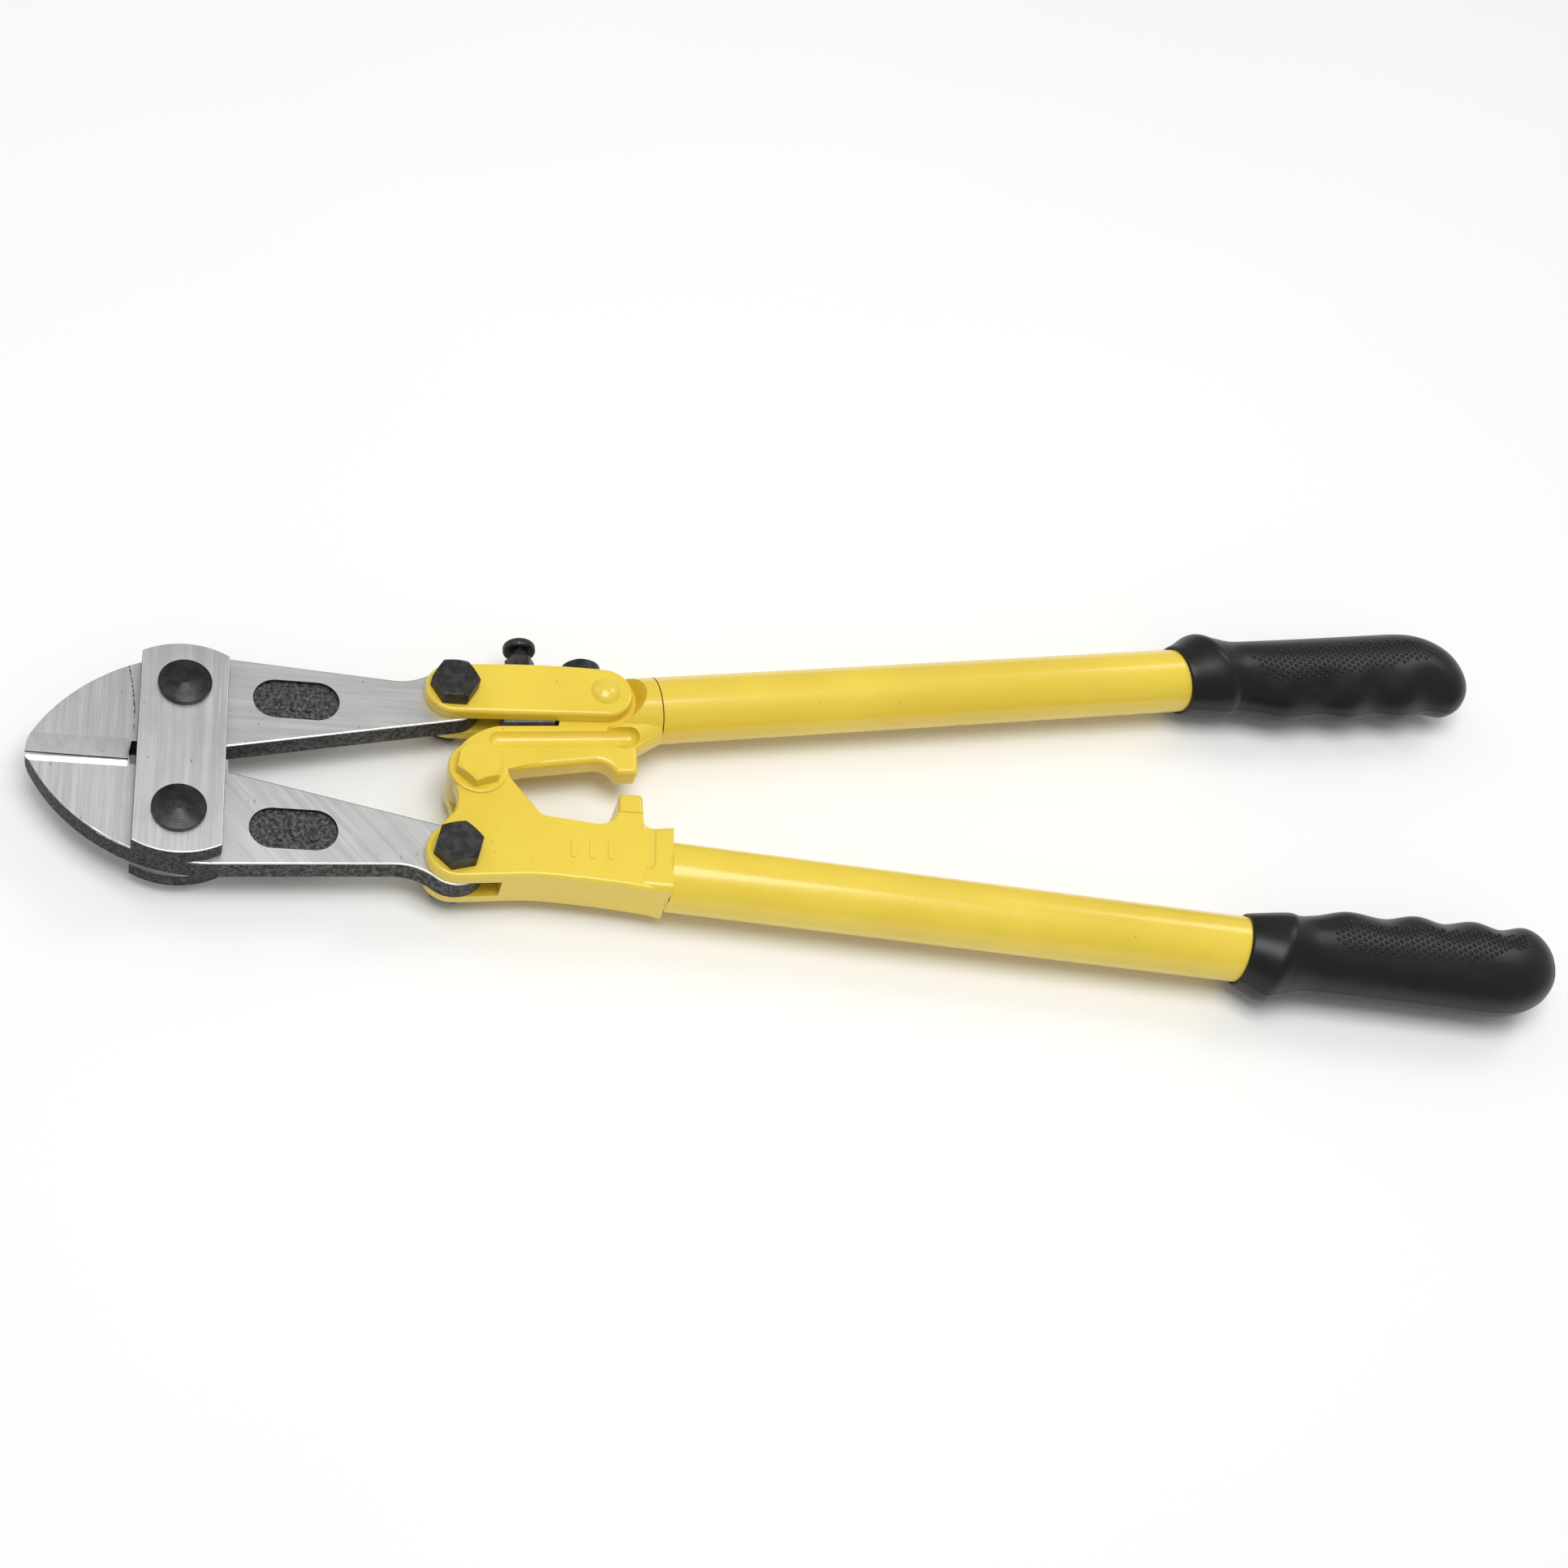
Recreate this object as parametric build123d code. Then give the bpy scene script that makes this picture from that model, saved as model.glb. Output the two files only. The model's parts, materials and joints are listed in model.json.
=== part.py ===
from build123d import *
import os
from math import asin, atan2, cos, degrees, hypot, radians, sin, sqrt

# 24 inch bolt cutters lying on their side.  Origin: the centre pivot's axis, at
# the underside of its nut.  +X runs from the jaws to the grips, +Y from the
# lower handle to the upper one, +Z up, away from the surface the tool lies on.
# Every piece is drawn about the tool's middle plane, then lifted by MID_Z.

# ---------------------------------------------------------------- layers in Z
MID_Z = 18.3            # middle plane above the surface
CORE_HALF = 4.8         # jaws and the upper head's plate: half thickness
CHEEK_IN = 4.95         # inner faces of the straps, links and clevis cheeks
FACE_HALF = 10.2        # outer faces of the links and the lower head
STRAP_HALF = 11.95      # outer faces of the straps
BOSS_HALF = 11.1        # raised boss round the centre pivot

# ---------------------------------------------------------------- pivots
JAW_PIN = (-108.0, 27.0)
TAIL = (-8.4, 36.0)     # jaw tail bolt, measured from the centre pivot
LINK_RIVET = (50.5, 39.2)
JAW_PIN_R = 6.0
BOLT_R = 5.0
RIVET_R = 4.0
RUNNING = 0.05          # radial clearance of a running fit

# ---------------------------------------------------------------- jaws
TIP_X = -162.4
BLADE_ROOT_X = -126.3
EDGE_TIP_Y = 0.55       # half the gap between the edges at the tip
EDGE_ROOT_Y = 0.3
BEVEL_Y = 6.0           # width of the ground bevel
EDGE_LAND = 0.25        # half the flat left on the cutting edge
HEEL_R = 26.8           # the two jaws roll on these arcs about their pins
HEEL_GAP_Y = 5.0        # inner edge of the jaw beside the heel
STRAP_EDGE_X = -92.0
JAW_TAIL_R = 12.0
SHOULDER_R = 22.0       # hollow where the jaw widens into its tail
OPEN_PIVOT_HALF = 9.2   # half length of the clearance slot in the upper jaw's tail
OPEN_PIVOT_R = 6.3      # half width of that slot
POCKET = (-67.0, 28.2)
POCKET_LEN = 32.0
POCKET_WIDTH = 17.0
POCKET_DEPTH = 1.6

# ---------------------------------------------------------------- straps and pins
STRAP_WIDTH = 31.4
STRAP_CORNER_Y = 40.75
STRAP_END_Y = 45.0
PIN_HEAD_R = 9.7
PIN_RIM = 1.5
PIN_CONE = 1.6
PIN_TIP_R = 1.6

# ---------------------------------------------------------------- handle heads
BOSS_R = 11.3           # raised boss in front of the centre pivot
KNUCKLE_R = 10.4        # the clevis itself about that pivot
TONGUE_R = 10.9
CHEEK_R = 11.4          # clevis cheek about the lower tail bolt
SLOT_END_X = 8.6
LINK_END_R = 10.9
LINK_CROWN = 1.1        # how far the link's outer edge bows out
WALL_R = 13.0           # foot of the curved wall round the link's end
WALL_TOP_R = 16.0
NECK_R = 8.0            # rounded rib from the arm up to the upper tube
COLLAR_LEN = 9.5        # round part of the upper head before the tube
STOP_CORNER = 1.8
FLANGE_LEN = 10.5
TROUGH_R = 4.5          # trough behind the flange's lip
BAR_X = (35.0, 42.0, 49.0)
ARM_EDGE = 2.3
SOFT_EDGE = 1.5
FLANGE_HALF = 12.4      # the lower head's flange at the tube's joint
PANEL_DEPTH = 0.5

# ---------------------------------------------------------------- handles
TUBE_R = 13.3
TUBE_WALL = 2.0
SPIGOT_LEN = 32.0
UPPER_JOINT_X = 71.5    # where the tube meets the upper head
LOWER_JOINT_X = 72.0
UPPER_AXIS_Y = 27.28    # height of the tube's axis at the centre pivot
LOWER_AXIS_Y = -31.0
UPPER_ANGLE = 8.9       # degrees from +X
LOWER_ANGLE = -4.5
UPPER_MOUTH_X = 299.5   # open end of the grip
LOWER_MOUTH_X = 303.5

# ---------------------------------------------------------------- grips
GRIP_LEN = 144.5
TUBE_IN_GRIP = 115.0
GRIP_SECTIONS = (       # place along it, reach away from the fingers and towards them, half depth
    (0.0, 14.6, 14.6, 14.6),
    (6.0, 17.6, 15.8, 16.7),
    (12.0, 19.6, 16.8, 18.0),     # guard
    (19.0, 17.6, 16.6, 16.8),
    (27.0, 15.4, 16.2, 15.4),
    (34.0, 15.1, 17.9, 15.2),
    (49.0, 15.1, 21.6, 15.2),     # first finger ridge
    (67.0, 15.1, 21.2, 15.2),
    (80.0, 15.1, 23.8, 15.2),     # second
    (93.0, 15.1, 22.6, 15.2),
    (106.0, 15.1, 24.9, 15.2),    # third
    (119.0, 14.4, 23.3, 15.0),
    (130.0, 10.9, 25.6, 13.4),    # fourth
    (138.0, 5.5, 22.5, 10.1),
    (142.0, 0.6, 18.3, 6.8),
    (GRIP_LEN, -5.0, 13.6, 3.0),
)

# ---------------------------------------------------------------- fasteners
HEX_ACROSS = 16.0
TAIL_HEAD = 6.7
PIVOT_HEAD = 5.4
TAIL_NUT = 5.0
RIVET_HEAD_R = 5.8
RIVET_DOME = 2.6

# ---------------------------------------------------------------- adjuster
SCREW_X = 18.9
SCREW_R = 3.0
KNOB_R = 6.4
KNOB_LOW_Y = 61.0
KNOB_HIGH_Y = 64.7
BLOCK_TOP_Y = 51.4
LOCK_NUT_TOP_Y = 57.0
LOCK_SCREW_X = 43.0
LOCK_HEAD_R = 7.8
LOCK_SHANK_R = 4.0
LOCK_SHANK_Y = 44.0     # inner end of the lock screw's shank
LOCK_HEAD_Y = 50.9      # underside of its head
LOCK_RIM_Y = 55.4       # where its sides start to slope in
LOCK_TOP_Y = 57.4

CENTRE = (0.0, 0.0)
LOWER_TAIL = (TAIL[0], -TAIL[1])
NUT_END = FACE_HALF + TAIL_NUT


def layer(face, low, high):
    """A flat piece from height low to height high."""
    return Pos(0, 0, low) * extrude(face, high - low)


def disc(centre, radius, low, high):
    return layer(Pos(*centre) * Circle(radius), low, high)


def both_faces(solid):
    """The solid and its mirror image in the middle plane."""
    return solid + mirror(solid, about=Plane.XY)


def outline(*edges):
    total = edges[0]
    for edge in edges[1:]:
        total = total + edge
    return make_face(total)


def on_circle(centre, radius, angle):
    return (centre[0] + radius * cos(radians(angle)), centre[1] + radius * sin(radians(angle)))


def touch_point(point, centre, radius, side):
    """Where a line from point touches a circle: side 1 passes it on its left, -1 on its right."""
    reach = hypot(centre[0] - point[0], centre[1] - point[1])
    heading = atan2(centre[1] - point[1], centre[0] - point[0]) + side * asin(radius / reach)
    run = sqrt(reach * reach - radius * radius)
    return (point[0] + run * cos(heading), point[1] + run * sin(heading))


def hex_prism(centre, across, turn, low, high, chamfered_up):
    """A hexagon with its outer corners turned off at one end."""
    corner_r = across / sqrt(3)
    body = layer(Pos(*centre) * Rot(0, 0, turn) * RegularPolygon(corner_r, 6), low, high)
    blank = disc(centre, corner_r, low, high)
    end = blank.edges().sort_by(Axis.Z)[-1 if chamfered_up else 0]
    return body & chamfer(end, 0.9, 1.5)


# ---------------------------------------------------------------- jaws

def heel_y(offset):
    return JAW_PIN[1] - sqrt(HEEL_R ** 2 - offset ** 2)


def jaw_outline(heel_tail):
    """The upper jaw seen from the front; heel_tail runs from the heel to the strap's edge."""
    heel_start = (JAW_PIN[0] - 8.5, heel_y(8.5))
    heel_end = (JAW_PIN[0] + 5.6, heel_y(5.6))
    inner_touch = touch_point(heel_tail[-1], TAIL, JAW_TAIL_R, -1)
    strap_out = (STRAP_EDGE_X, 44.6)
    nose_start = (-124.5, 40.0)
    tip_out = (TIP_X + 0.4, 3.4)
    shank = outline(
        Polyline(
            (TIP_X, EDGE_TIP_Y),
            (BLADE_ROOT_X, EDGE_ROOT_Y),
            (BLADE_ROOT_X + 0.6, HEEL_GAP_Y),
            (JAW_PIN[0] - 10.5, HEEL_GAP_Y),
            heel_start,
        ),
        ThreePointArc(heel_start, (JAW_PIN[0], heel_y(0)), heel_end),
        Polyline(heel_end, *heel_tail, inner_touch, TAIL, (-14.0, 39.6), strap_out),
        ThreePointArc(strap_out, (JAW_PIN[0], 44.3), nose_start),
        ThreePointArc(nose_start, (-149.3, 22.5), tip_out),
        Line(tip_out, (TIP_X, EDGE_TIP_Y)),
    )
    shape = shank + Pos(*TAIL) * Circle(JAW_TAIL_R)
    shoulder = shape.vertices().sort_by_distance((TAIL[0] - JAW_TAIL_R, 40.0))[0]
    return fillet(shoulder, SHOULDER_R)


def blade_bevel():
    """The wedge ground off the front face along the cutting edge."""
    length = BLADE_ROOT_X - TIP_X + 10
    section = Polygon(
        (EDGE_ROOT_Y, EDGE_LAND),
        (BEVEL_Y, CORE_HALF),
        (BEVEL_Y, CORE_HALF + 2),
        (-2, CORE_HALF + 2),
        (-2, EDGE_LAND),
        align=None,
    )
    placed = Plane(origin=(BLADE_ROOT_X, 0, 0), x_dir=(0, 1, 0), z_dir=(1, 0, 0)) * section
    return extrude(placed, -length)


def jaw_pocket():
    """A cast pocket with three plain raised bars in it."""
    floor_z = CORE_HALF - POCKET_DEPTH
    pocket = layer(Pos(*POCKET) * SlotOverall(POCKET_LEN, POCKET_WIDTH), floor_z, CORE_HALF + 1)
    for step in (-1, 0, 1):
        bar = Pos(POCKET[0] + 6 * step, POCKET[1]) * SlotOverall(9, 2.2, rotation=70)
        pocket = pocket - layer(bar, floor_z, floor_z + 0.6)
    return pocket


def jaw(heel_tail, tail_hole):
    body = layer(jaw_outline(heel_tail), -CORE_HALF, CORE_HALF)
    outer = [
        edge
        for edge in body.edges()
        if abs(abs(edge.center().Z) - CORE_HALF) < 0.01 and edge.center().Y > 14 and edge.length > 5
    ]
    body = fillet(outer, 0.7)
    body = body - both_faces(blade_bevel()) - both_faces(jaw_pocket())
    body = body - disc(JAW_PIN, JAW_PIN_R + RUNNING, -CORE_HALF, CORE_HALF)
    return body - layer(tail_hole, -CORE_HALF, CORE_HALF)


def upper_jaw():
    heel_tail = [(JAW_PIN[0] + 6.8, HEEL_GAP_Y), (STRAP_EDGE_X, 5.3)]
    slot = Pos(*TAIL) * SlotOverall(2 * OPEN_PIVOT_HALF, 2 * OPEN_PIVOT_R, rotation=90)
    return jaw(heel_tail, slot)


def lower_jaw():
    """The upper jaw's mirror image, with a tooth on its heel that reaches the middle line."""
    tooth_top = EDGE_ROOT_Y
    heel_tail = [(JAW_PIN[0] + 6.6, tooth_top), (-91.2, tooth_top), (-90.9, HEEL_GAP_Y + 0.4)]
    return mirror(jaw(heel_tail, Pos(*TAIL) * Circle(BOLT_R + RUNNING)), about=Plane.XZ)


# ---------------------------------------------------------------- straps and jaw pins

def strap(low, high):
    half = STRAP_WIDTH / 2
    corners = [(side * half, end * STRAP_CORNER_Y) for side, end in ((1, 1), (-1, 1), (-1, -1), (1, -1))]
    shape = outline(
        ThreePointArc(corners[0], (0, STRAP_END_Y), corners[1]),
        Line(corners[1], corners[2]),
        ThreePointArc(corners[2], (0, -STRAP_END_Y), corners[3]),
        Line(corners[3], corners[0]),
    )
    plate = layer(Pos(JAW_PIN[0], 0) * shape, low, high)
    outer_z = high if high > 0 else low
    rim = [edge for edge in plate.edges() if abs(edge.center().Z - outer_z) < 0.01]
    plate = fillet(rim, 0.5)
    for side in (1, -1):
        plate = plate - disc((JAW_PIN[0], side * JAW_PIN[1]), JAW_PIN_R, low, high)
    return plate


def jaw_pin(side):
    """A shouldered pin with a turned conical head at each end."""
    centre = (JAW_PIN[0], side * JAW_PIN[1])
    shank = disc(centre, JAW_PIN_R, -STRAP_HALF, STRAP_HALF)
    rim = disc(centre, PIN_HEAD_R, STRAP_HALF, STRAP_HALF + PIN_RIM)
    cone_z = STRAP_HALF + PIN_RIM + PIN_CONE / 2
    cone = Pos(centre[0], centre[1], cone_z) * Cone(PIN_HEAD_R - 0.4, PIN_TIP_R, PIN_CONE)
    return shank + both_faces(rim + cone)


# ---------------------------------------------------------------- side links and adjuster

def link_outline():
    lean = atan2(LINK_RIVET[1] - TAIL[1], LINK_RIVET[0] - TAIL[0])
    up = degrees(lean) + 90
    tail_top = on_circle(TAIL, LINK_END_R, up)
    tail_low = on_circle(TAIL, LINK_END_R, up + 180)
    end_top = on_circle(LINK_RIVET, LINK_END_R, up)
    end_low = on_circle(LINK_RIVET, LINK_END_R, up + 180)
    crown = ((tail_top[0] + end_top[0]) / 2, (tail_top[1] + end_top[1]) / 2 + LINK_CROWN)
    return outline(
        ThreePointArc(tail_top, on_circle(TAIL, LINK_END_R, up + 90), tail_low),
        Line(tail_low, end_low),
        ThreePointArc(end_low, on_circle(LINK_RIVET, LINK_END_R, up - 90), end_top),
        ThreePointArc(end_top, crown, tail_top),
    )


def front_side_link():
    plate = layer(link_outline(), CHEEK_IN, FACE_HALF)
    rim = [edge for edge in plate.edges() if abs(edge.center().Z - FACE_HALF) < 0.01]
    plate = fillet(rim, 1.6)
    plate = plate - disc(TAIL, BOLT_R, CHEEK_IN, FACE_HALF)
    return plate - disc(LINK_RIVET, RIVET_R + RUNNING, CHEEK_IN, FACE_HALF)


def link_rivet():
    shank = disc(LINK_RIVET, RIVET_R, -FACE_HALF - RUNNING, FACE_HALF + RUNNING)
    ball_r = (RIVET_HEAD_R ** 2 + RIVET_DOME ** 2) / (2 * RIVET_DOME)
    head_z = FACE_HALF + RUNNING
    ball = Pos(*LINK_RIVET, head_z + RIVET_DOME - ball_r) * Sphere(ball_r)
    head = ball & disc(LINK_RIVET, RIVET_HEAD_R + 1, head_z, head_z + RIVET_DOME + 1)
    return shank + both_faces(head)


def upright(centre_x, radius, low_y, high_y):
    """A round bar standing along +Y in the middle plane."""
    bar = Cylinder(radius, high_y - low_y, rotation=(-90, 0, 0))
    return Pos(centre_x, (low_y + high_y) / 2, 0) * bar


def adjuster_block():
    """The threaded block that ties the two links together."""
    side = Polygon(
        (11.4, 24.9), (31.2, 26.6), (34.0, 46.0), (30.5, BLOCK_TOP_Y), (11.4, BLOCK_TOP_Y), align=None
    )
    block = layer(side, -CHEEK_IN, CHEEK_IN)
    return block - upright(SCREW_X, SCREW_R + RUNNING, 20, BLOCK_TOP_Y + 1)


def adjusting_lock_nut():
    blank = Rot(-90, 0, 0) * extrude(RegularPolygon(10 / sqrt(3), 6), LOCK_NUT_TOP_Y - BLOCK_TOP_Y)
    nut = Pos(SCREW_X, BLOCK_TOP_Y, 0) * blank
    return nut - upright(SCREW_X, SCREW_R + RUNNING, BLOCK_TOP_Y - 1, LOCK_NUT_TOP_Y + 1)


def adjusting_screw():
    """A thumb screw: a round knob, a waist and a shank that stops short of the rail."""
    knob = upright(SCREW_X, KNOB_R, KNOB_LOW_Y, KNOB_HIGH_Y)
    knob = fillet(knob.edges().filter_by(GeomType.CIRCLE), 1.2)
    waist = upright(SCREW_X, SCREW_R + 0.5, LOCK_NUT_TOP_Y + 0.3, KNOB_LOW_Y)
    return knob + waist + upright(SCREW_X, SCREW_R, 24.9, LOCK_NUT_TOP_Y + 0.3)


def lock_screw():
    """A flat-topped screw head over the links, with its shank in the head's plate."""
    head = upright(LOCK_SCREW_X, LOCK_HEAD_R, LOCK_HEAD_Y, LOCK_TOP_Y)
    head = chamfer(head.edges().sort_by(Axis.Y)[-1], LOCK_TOP_Y - LOCK_RIM_Y, 2.6)
    return head + upright(LOCK_SCREW_X, LOCK_SHANK_R, LOCK_SHANK_Y, LOCK_HEAD_Y)


# ---------------------------------------------------------------- tubes

def tube_plane(joint_x, axis_y, angle):
    """A plane at the tube's joint: its Z runs along the tube and its Y up, along +Z."""
    along = (cos(radians(angle)), sin(radians(angle)), 0)
    origin = (joint_x, axis_y + joint_x * along[1] / along[0], 0)
    return Plane(origin=origin, x_dir=(-along[1], along[0], 0), z_dir=along)


UPPER_PLANE = tube_plane(UPPER_JOINT_X, UPPER_AXIS_Y, UPPER_ANGLE)
LOWER_PLANE = tube_plane(LOWER_JOINT_X, LOWER_AXIS_Y, LOWER_ANGLE)
UPPER_GRIP_AT = (UPPER_MOUTH_X - UPPER_JOINT_X) / cos(radians(UPPER_ANGLE))
LOWER_GRIP_AT = (LOWER_MOUTH_X - LOWER_JOINT_X) / cos(radians(LOWER_ANGLE))


def along_tube(plane, radius, start, end):
    """A round bar along the tube's axis, from start to end past the joint."""
    return plane * (Pos(0, 0, (start + end) / 2) * Cylinder(radius, end - start))


def tube(plane, grip_at):
    end = grip_at + TUBE_IN_GRIP
    outside = along_tube(plane, TUBE_R, 0, end)
    return outside - along_tube(plane, TUBE_R - TUBE_WALL, 0, end)


# ---------------------------------------------------------------- handle heads

def upper_plate():
    """The upper head's plate: tongue, rail under the links, arm and stop."""
    tongue_side = on_circle(CENTRE, TONGUE_R, 145)
    arm_root = on_circle(CENTRE, TONGUE_R, 18)
    plate = outline(
        Polyline(arm_root, (12.0, 3.9), (46.5, 10.4)),
        ThreePointArc((46.5, 10.4), (51.5, 9.0), (54.2, 5.4)),
        Polyline(
            (54.2, 5.4), (62.8, 5.9), (63.4, 18.6), (73.4, 25.6), (69.6, 49.5),
            (61.0, 47.0), (36.6, 47.0), (32.4, 25.1), (9.0, 23.0),
        ),
        ThreePointArc((9.0, 23.0), (-2.9, 16.0), tongue_side),
        ThreePointArc(tongue_side, on_circle(CENTRE, TONGUE_R, 260), arm_root),
    )
    return layer(plate, -CORE_HALF, CORE_HALF)


def rod(start, end, radius, z):
    """A round bar with ball ends, level at height z."""
    length = hypot(end[0] - start[0], end[1] - start[1])
    lean = degrees(atan2(end[1] - start[1], end[0] - start[0]))
    middle = ((start[0] + end[0]) / 2, (start[1] + end[1]) / 2, z)
    bar = Pos(*middle) * Rot(0, 0, lean) * Cylinder(radius, length, rotation=(0, 90, 0))
    return bar + Pos(*start, z) * Sphere(radius) + Pos(*end, z) * Sphere(radius)


def arm_groove():
    """A round-bottomed groove along the arm, between the rail and the lower flange."""
    width, depth = 7.0, 2.4
    radius = (width ** 2 / 4 + depth ** 2) / (2 * depth)
    return rod((8.9, 16.9), (60.0, 21.6), radius, CORE_HALF + radius - depth)


def link_room():
    """The space round the links in front of the plate, with a sloping wall at their end."""
    depth = TUBE_R + 1 - CORE_HALF
    wall = Pos(*LINK_RIVET, CORE_HALF + depth / 2) * Cone(WALL_R, WALL_TOP_R, depth)
    side = Pos(LINK_RIVET[0] - 22, LINK_RIVET[1] + 5) * Rectangle(44, 2 * WALL_R + 10)
    return wall + layer(side, CORE_HALF, CORE_HALF + depth)


def upper_handle_head():
    plate = upper_plate()
    uprights = plate.edges().filter_by(Axis.Z)
    plate = fillet([edge for edge in uprights if edge.center().X > 50 and edge.center().Y < 10], STOP_CORNER)
    rims = [edge for edge in plate.edges() if abs(abs(edge.center().Z) - CORE_HALF) < 0.01]
    arm_rims = [edge for edge in rims if edge.center().X > 20 and edge.center().Y < 16]
    plate = fillet(arm_rims, ARM_EDGE)
    collar = along_tube(UPPER_PLANE, TUBE_R, -COLLAR_LEN, 0)
    collar = collar + UPPER_PLANE * (Pos(0, 0, -COLLAR_LEN) * Sphere(TUBE_R))
    head = plate + collar + rod((57.5, 23.2), (68.9, 30.5), NECK_R, 0)
    head = head - both_faces(link_room()) - both_faces(arm_groove())
    head = head - along_tube(UPPER_PLANE, 2 * TUBE_R, 0, 2 * TUBE_R)
    head = head + along_tube(UPPER_PLANE, TUBE_R - TUBE_WALL, 0, SPIGOT_LEN)
    head = head - disc(CENTRE, BOLT_R + RUNNING, -CORE_HALF, CORE_HALF)
    head = head - disc(LINK_RIVET, RIVET_R, -CORE_HALF, CORE_HALF)
    return head - upright(LOCK_SCREW_X, LOCK_SHANK_R, LOCK_SHANK_Y, LOCK_HEAD_Y)


def lower_outline():
    """The clevis, seen from the front: knuckle, waist, tail cheek, body and stop."""
    window = (12.8, -3.6)
    waist_high, waist_low = (-7.8, -11.5), (-8.6, -18.2)
    belly, corner = (20.0, -44.8), (71.0, -49.3)
    rounded = [
        (window, 8.0), ((23.6, -18.3), 5.0), ((52.6, -21.5), 8.0),
        ((53.4, -7.0), STOP_CORNER), ((62.6, -7.0), STOP_CORNER), ((62.4, -21.4), 3.2),
        ((73.2, -21.4), 1.9), (corner, 2.2), (belly, 80.0), (waist_low, 3.0), (waist_high, 8.0),
    ]
    shape = outline(
        Polyline(CENTRE, touch_point(window, CENTRE, KNUCKLE_R, -1), *[point for point, _ in rounded[:8]]),
        ThreePointArc(corner, (46.0, -46.3), belly),
        Polyline(
            belly, touch_point(belly, LOWER_TAIL, CHEEK_R, 1), LOWER_TAIL,
            touch_point(waist_low, LOWER_TAIL, CHEEK_R, -1), waist_low, waist_high,
            touch_point(waist_high, CENTRE, KNUCKLE_R, 1), CENTRE,
        ),
    )
    shape = shape + Circle(KNUCKLE_R) + Pos(*LOWER_TAIL) * Circle(CHEEK_R)
    for point, radius in rounded:
        shape = fillet(shape.vertices().sort_by_distance(point)[0], radius)
    return shape


def lower_flange():
    """The thicker end of the lower head, where the tube joins it."""
    end = Pos(1.4, 0) * RectangleRounded(27.8, 2 * FLANGE_HALF, 2.6)
    root = Pos(1.4, 0) * RectangleRounded(26.0, 2 * FACE_HALF + 0.4, 2.6)
    return loft([LOWER_PLANE * (Pos(0, 0, -FLANGE_LEN) * root), LOWER_PLANE * end])


def lower_panel():
    """A shallow panel with three plain bars in it, and a trough behind the flange's lip."""
    floor_z = FACE_HALF - PANEL_DEPTH
    face = Polygon((20.5, -15.0), (20.5, -38.8), (62.3, -41.2), (62.3, -15.0), align=None)
    face = fillet(face.vertices().group_by(Axis.Y)[0], 2.0)
    panel = layer(face, floor_z, FACE_HALF + 1)
    for x in BAR_X:
        bar = Pos(x, -32.0) * SlotOverall(8.5, 2.0, rotation=86)
        panel = panel - layer(bar, floor_z, FACE_HALF - 0.1)
    return panel + rod((62.2, -37.5), (63.6, -19.8), TROUGH_R, floor_z + TROUGH_R)


def lower_handle_head():
    body = layer(lower_outline(), -FACE_HALF, FACE_HALF)
    body = fillet(body.edges().group_by(Axis.Z)[0] + body.edges().group_by(Axis.Z)[-1], SOFT_EDGE)
    front_boss = disc(CENTRE, BOSS_R, 0, BOSS_HALF)
    front_boss = fillet(front_boss.edges().sort_by(Axis.Z)[-1], 1.0)
    rear_boss = disc(CENTRE, KNUCKLE_R, -BOSS_HALF, 0)
    rear_boss = fillet(rear_boss.edges().sort_by(Axis.Z)[0], 1.0)
    head = body + lower_flange() + front_boss + rear_boss
    head = head - both_faces(lower_panel())
    head = head - along_tube(LOWER_PLANE, 2 * TUBE_R, 0, 2 * TUBE_R)
    head = head + along_tube(LOWER_PLANE, TUBE_R - TUBE_WALL, 0, SPIGOT_LEN)
    slot = Pos(SLOT_END_X - 25, -25) * Rectangle(50, 80)
    gap = layer(slot, -CHEEK_IN, CHEEK_IN) + disc(CENTRE, TONGUE_R + 0.8, -CHEEK_IN, CHEEK_IN)
    head = head - gap
    for centre in (CENTRE, LOWER_TAIL):
        head = head - disc(centre, BOLT_R, -BOSS_HALF, BOSS_HALF)
    return head


# ---------------------------------------------------------------- grips

def grip(plane, grip_at, finger_side):
    """A closed rubber grip of oval section, with a guard at its mouth and ridges between the fingers."""
    sections = []
    for along, outer, finger, half_depth in GRIP_SECTIONS:
        oval = Pos(finger_side * (finger - outer) / 2, 0) * Ellipse((finger + outer) / 2, half_depth)
        sections.append(plane * (Pos(0, 0, grip_at + along) * oval))
    return loft(sections) - along_tube(plane, TUBE_R, grip_at - 1, grip_at + TUBE_IN_GRIP)


# ---------------------------------------------------------------- bolts and nuts

def bolt(centre, end, face, head_height, turn):
    """A hexagon bolt whose end, at depth end, is flush with its nut."""
    shank = disc(centre, BOLT_R, -end, face)
    return shank + hex_prism(centre, HEX_ACROSS, turn, face, face + head_height, True)


def nut(centre, end, face, turn):
    return hex_prism(centre, HEX_ACROSS, turn, -end, -face, False) - disc(centre, BOLT_R, -end, 0)


# ---------------------------------------------------------------- assembly

front_link = front_side_link()

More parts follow.
